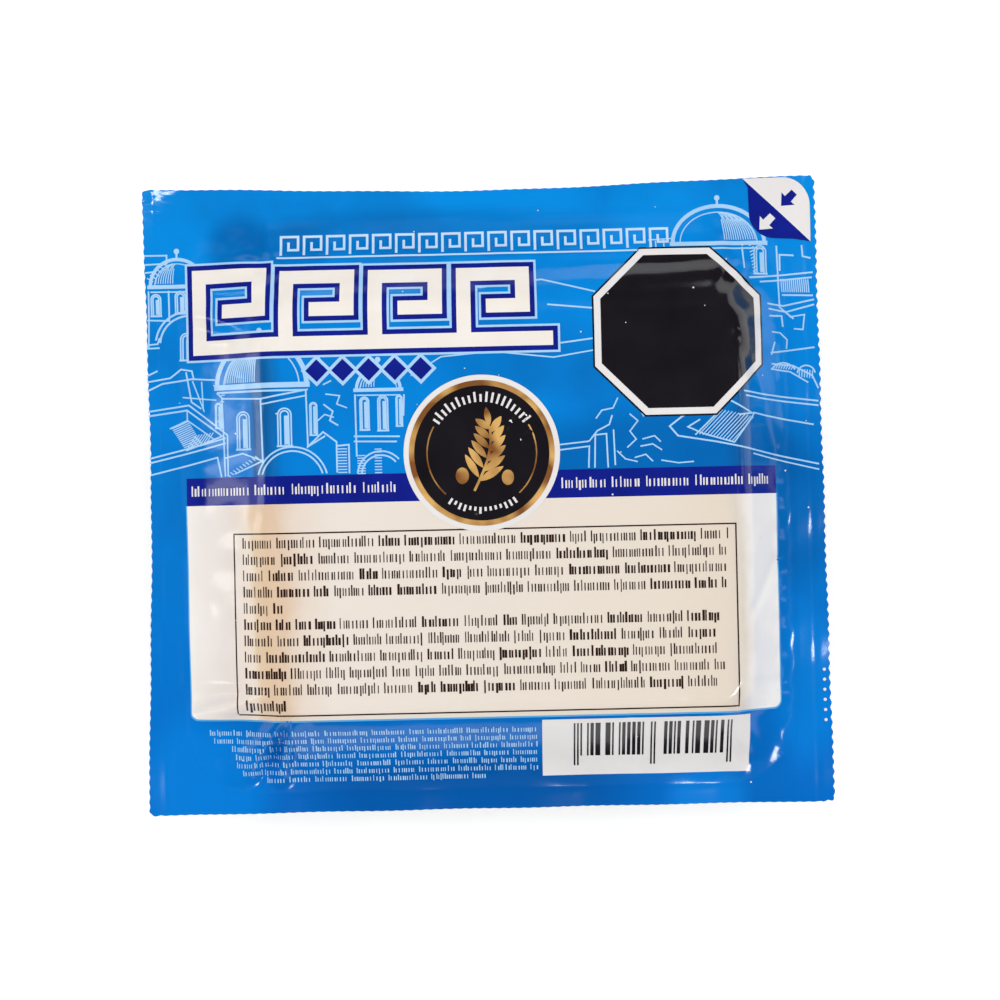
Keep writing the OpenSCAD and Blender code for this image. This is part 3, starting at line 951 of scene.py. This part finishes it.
# Warm white ink, thicker than the window's
cream = printed_ink("cream_ink", "F6F0E9", "EEE4D7")
key_t, navy_edge, pale_edge = 2.8, 0.95, 0.45
title_foot, title_left, title_right = 30.6, -56.2, 12.6
keys = [[(title_left, title_foot), (title_right, title_foot)]]
for x, w, h in ((-56.2, 12.4, 14.2), (-38.3, 12.0, 13.4), (-20.8, 11.8, 13.2), (-3.4, 11.6, 13.2)):
    turn = ((0, 0), (0, 1), (1, 1), (1, 0.5), (0.5, 0.5))
    keys.append([(x + w * u, title_foot + h * v) for u, v in turn])
for name, extra, material, slot, level in (
    ("title_keyline", navy_edge + pale_edge, pale_line, "pale_blue_ink", 2),
    ("title_edge", navy_edge, navy, "navy_ink", 3), ("title_keys", 0, cream, "white_ink", 4),
):
    marks(name, [stroke(key, key_t + 2 * extra, key_t / 2 + extra) for key in keys], material, level)


def lozenge(x, y, w, h):
    """A diamond on its point, w to each side of its middle and h above and below it."""
    return [np.array(((x - w, y), (x, y - h), (x + w, y), (x, y + h)))]


lozenges = [(-32.4 + 5.1 * k, 25.2) for k in range(5)]
marks("lozenge_halo", [lozenge(x, y, 3.1, 3.1) for x, y in lozenges], pale_line, 2)
marks("lozenges", [lozenge(x, y, 2.2, 2.2) for x, y in lozenges], navy, 3)

# ---- Medallion ----
# A round badge over the middle of the band: white and bronze-gold rings round a black field, with a
# plain olive sprig and short pale ticks, all in ink.

# Black ink, laid twice, so that it mirrors the light more clearly than the colours do
black = printed_ink("black_ink", "211E24", "141216", level=0.55)
# Bronze-gold ink, which shifts between gold and brown in bands
gold = printed_ink("bronze_gold_ink", "DFAF66", "845228", patch_mm=8, level=0.5, contrast=1.0)
badge_x, badge_y = -0.45, 8.4
badge_outer, badge_gold, badge_black = 15.3, 14.25, 13.2


def disc(r):
    """A filled circle round the badge's middle."""
    return [arc(badge_x, badge_y, r, 0, 360, steps=120)[:-1]]


def leaf(x, y, angle, length, width):
    """A pointed leaf that starts at a point and grows at an angle in degrees."""
    run = np.linspace(0, 1, 13)
    half = width / 2 * np.sin(math.pi * run) ** 0.8
    along = np.concatenate((run, run[::-1])) * length
    side = np.concatenate((half, -half[::-1]))
    c, s = math.cos(math.radians(angle)), math.sin(math.radians(angle))
    return [np.stack((x + along * c - side * s, y + along * s + side * c), axis=1)]


marks("badge_white_ring", [disc(badge_outer)], white_ink, 3)
marks("badge_gold_ring", [disc(badge_gold)], gold, 4)
marks("badge_field", [disc(badge_black)], black, 5)
stem = [(badge_x + 3.4 * math.sin(1.9 * t) - 1.6, badge_y - 7.4 + 12.6 * t) for t in np.linspace(0, 1, 21)]
sprig = [stroke(stem, 0.5)]
for k in range(6):
    x, y = stem[3 + 3 * k]
    lean = 76 + 5 * k
    sprig.append(leaf(x, y, lean - 46, 5.6 - 0.35 * k, 1.5))
    sprig.append(leaf(x, y + 0.7, lean + 44, 5.3 - 0.35 * k, 1.4))
sprig.append(leaf(*stem[-1], 100, 3.8, 1.3))
sprig.append([arc(badge_x - 3.9, badge_y - 4.4, 1.3, 0, 360, squash=1.25)[:-1]])
sprig.append([arc(badge_x + 5.0, badge_y - 4.9, 1.2, 0, 360, squash=1.25)[:-1]])
for first, last in ((150, 228), (-48, 30)):
    sprig.append(stroke(arc(badge_x, badge_y, 10.7, first, last, steps=40), 0.28))
marks("badge_sprig", sprig, gold, 6)
badge_ticks = []
for middle, spread, number, foot, head in ((90, 54, 19, 10, 12), (270, 34, 14, 10.6, 11.9)):
    for angle in np.radians(np.linspace(middle - spread, middle + spread, number)):
        c, s = math.cos(angle), math.sin(angle)
        top = head if draws.random() < 0.6 else head - 0.5
        badge_ticks.append(stroke([(badge_x + r * c, badge_y + r * s) for r in (foot, top)], 0.45))
marks("badge_ticks", badge_ticks, white_ink, 6)

# ---- Eight-sided panel ----
# A plain black eight-sided panel with a pale border and a hairline of black round it, left blank.

panel_x, panel_y = 38.7, 31.7


def eight_sided(half):
    """A regular octagon with flat top and bottom, half its width from its middle."""
    r = half / math.cos(math.pi / 8)
    return [arc(panel_x, panel_y, r, 22.5, 382.5, steps=8)[:-1]]


for name, half, material, slot, level in (
    ("panel_hairline", 16.95, black, "black_ink", 2), ("panel_border", 16.6, white_ink, "white_ink", 3),
    ("panel_field", 15.3, black, "black_ink", 4),
):
    marks(name, [eight_sided(half)], material, level)

# ---- Code panel ----
# A white panel at the lower right with a row of black bars on a 0.33 mm module. The bars are drawn
# at random and hold no number, and nothing is written under them.

code_left, code_foot, code_right, code_head = 10.2, -56.1, 51.4, -44.2
module, code_modules, guard_drop = 0.33, 95, 2.0
code_ground = round_corners(code_left, code_foot, code_right, code_head, sharp_r, sharp_r)
marks("code_panel", [[code_ground]], white_ink, 2)
bars, position = [], 4
bars_left, bars_head, bars_foot = code_left + 6.2, code_head - 0.9, code_head - 7.9
runs = [(k, 1, guard_drop) for k in (0, 2, 46, 48, 92, 94)]
while position < code_modules - 6:
    width = draws.choice((1, 1, 2, 2, 3))
    if not 42 < position < 50:
        runs.append((position, width, 0))
    position += width + draws.choice((1, 1, 2, 3))
for first, width, drop in runs:
    x0, x1, foot = bars_left + first * module, bars_left + (first + width) * module, bars_foot - drop
    bars.append([np.array(((x0, foot), (x1, foot), (x1, bars_head), (x0, bars_head)))])
marks("code_bars", bars, black, 3)

# ---- Peel corner ----
# A two-coloured leaf at the upper right that shows which corner to pull: cream on the outer half,
# navy on the inner, each with a plain arrow that points down and inwards.

leaf_tip, leaf_foot = (52.8, 62.2), (66.0, 49.3)
outer_half = [np.array((leaf_foot, *arc(60.5, 56.7, 5.5, 0, 90, steps=12), leaf_tip))]
inner_arc = arc(59.0, 55.2, 5.1, 178, 268, steps=12)
inner_half = [np.array((leaf_tip, (53.8, 60.4), *inner_arc, (62.5, 49.9), leaf_foot))]


def arrow(x, y, size):
    """A plain arrow whose head is at (x, y) and points down and to the left."""
    outline = (0, 0), (1, 0.06), (0.72, 0.3), (1.18, 0.8), (0.8, 1.18), (0.3, 0.72), (0.06, 1)
    return [np.array(outline) * size + (x, y)]


marks("peel_inner", [inner_half], navy, 2)
marks("peel_outer", [outer_half], white_ink, 3)
marks("peel_outer_arrow", [arrow(60.3, 56.5, 2.7)], navy, 4)
marks("peel_inner_arrow", [arrow(55.9, 51.9, 2.7)], white_ink, 4)
edge_dots = [[arc(half_l - 1.5, y, 0.32, 0, 360, steps=10)[:-1]] for y in np.linspace(-46.2, -36.2, 6)]
marks("edge_dots", edge_dots, white_ink, 2)

# ---- Glint specks ----
# Painted glints: tiny pale dots of white ink where dust and bubbles under the film catch the light.

glint_specks = []
for _ in range(46):
    x, y = draws.uniform(-66, 66), draws.uniform(-60, 60)
    glint_specks.append([arc(x, y, draws.uniform(0.09, 0.2), 0, 360, steps=7)[:-1]])
marks("glint_specks", glint_specks, white_ink, 4)

# ---- Floor, light and camera ----
# A plain pale table under soft studio light from both sides and from above the pack's head, with
# the camera looking straight down on the print.

floor_mesh = bpy.data.meshes.new("floor")
floor_mesh.from_pydata([(-3, -3, 0), (3, -3, 0), (3, 3, 0), (-3, 3, 0)], [], [(0, 1, 2, 3)])
floor = bpy.data.objects.new("floor", floor_mesh)
bpy.context.scene.collection.objects.link(floor)

# A matt white table top, lit so evenly that it nearly loses its shadows
table, tree, output, place = empty_material("matt_white_table")
matt = add(tree, "ShaderNodeBsdfPrincipled", {
    "Base Color": srgb("FCFCFC"), "Roughness": 0.9,
    "Emission Color": (1, 1, 1, 1), "Emission Strength": 0.18,
})
tree.links.new(matt.outputs[0], output.inputs["Surface"])
floor_mesh.materials.append(table)


def softbox(name, place, wide, tall, power, in_gloss, lights=True):
    """An area light that faces the pack. It can be kept out of the gloss, or show in it alone."""
    lamp = bpy.data.lights.new(name, "AREA")
    lamp.shape, lamp.size, lamp.size_y, lamp.energy = "RECTANGLE", wide, tall, power
    light = bpy.data.objects.new(name, lamp)
    light.location = place
    light.rotation_euler = (-Vector(place)).to_track_quat("-Z", "Y").to_euler()
    light.visible_glossy, light.visible_diffuse = in_gloss, lights
    bpy.context.scene.collection.objects.link(light)


softbox("left_softbox", (-0.85, 0.2, 1.1), 0.7, 0.7, 4.3, False)
softbox("right_softbox", (0.85, 0.1, 1.1), 0.7, 0.7, 3.8, False)
softbox("head_softbox", (0.1, 0.95, 1.1), 0.7, 0.7, 2.8, False)
softbox("head_sheen", (0.1, 0.95, 1.1), 0.7, 0.7, 1.5, True, lights=False)
softbox("foot_softbox", (-0.1, -0.95, 1.1), 0.7, 0.7, 2.4, False)
softbox("left_strip", (-0.9, 0.04, 0.2), 0.09, 0.34, 0.5, True, lights=False)
softbox("right_strip", (0.9, 0.04, 0.22), 0.09, 0.3, 0.16, True, lights=False)
softbox("corner_lamp", (0.46, -0.46, 1.02), 0.3, 0.3, 10.0, True, lights=False)

world = bpy.data.worlds.new("dim_studio")
bpy.context.scene.world = world
world.use_nodes = True
world.node_tree.nodes["Background"].inputs["Color"].default_value = (0.95, 0.97, 1, 1)
world.node_tree.nodes["Background"].inputs["Strength"].default_value = 0.6
world.cycles_visibility.glossy = False
bpy.context.scene.view_settings.view_transform = "Standard"

camera_height, camera_roll = 0.6, math.radians(-1.3)
lens_data = bpy.data.cameras.new("camera")
lens_data.lens = 105
camera = bpy.data.objects.new("camera", lens_data)
camera.location = (0.0029, -0.0009, camera_height)
camera.rotation_euler = (0, 0, camera_roll)
bpy.context.scene.collection.objects.link(camera)
bpy.context.scene.camera = camera
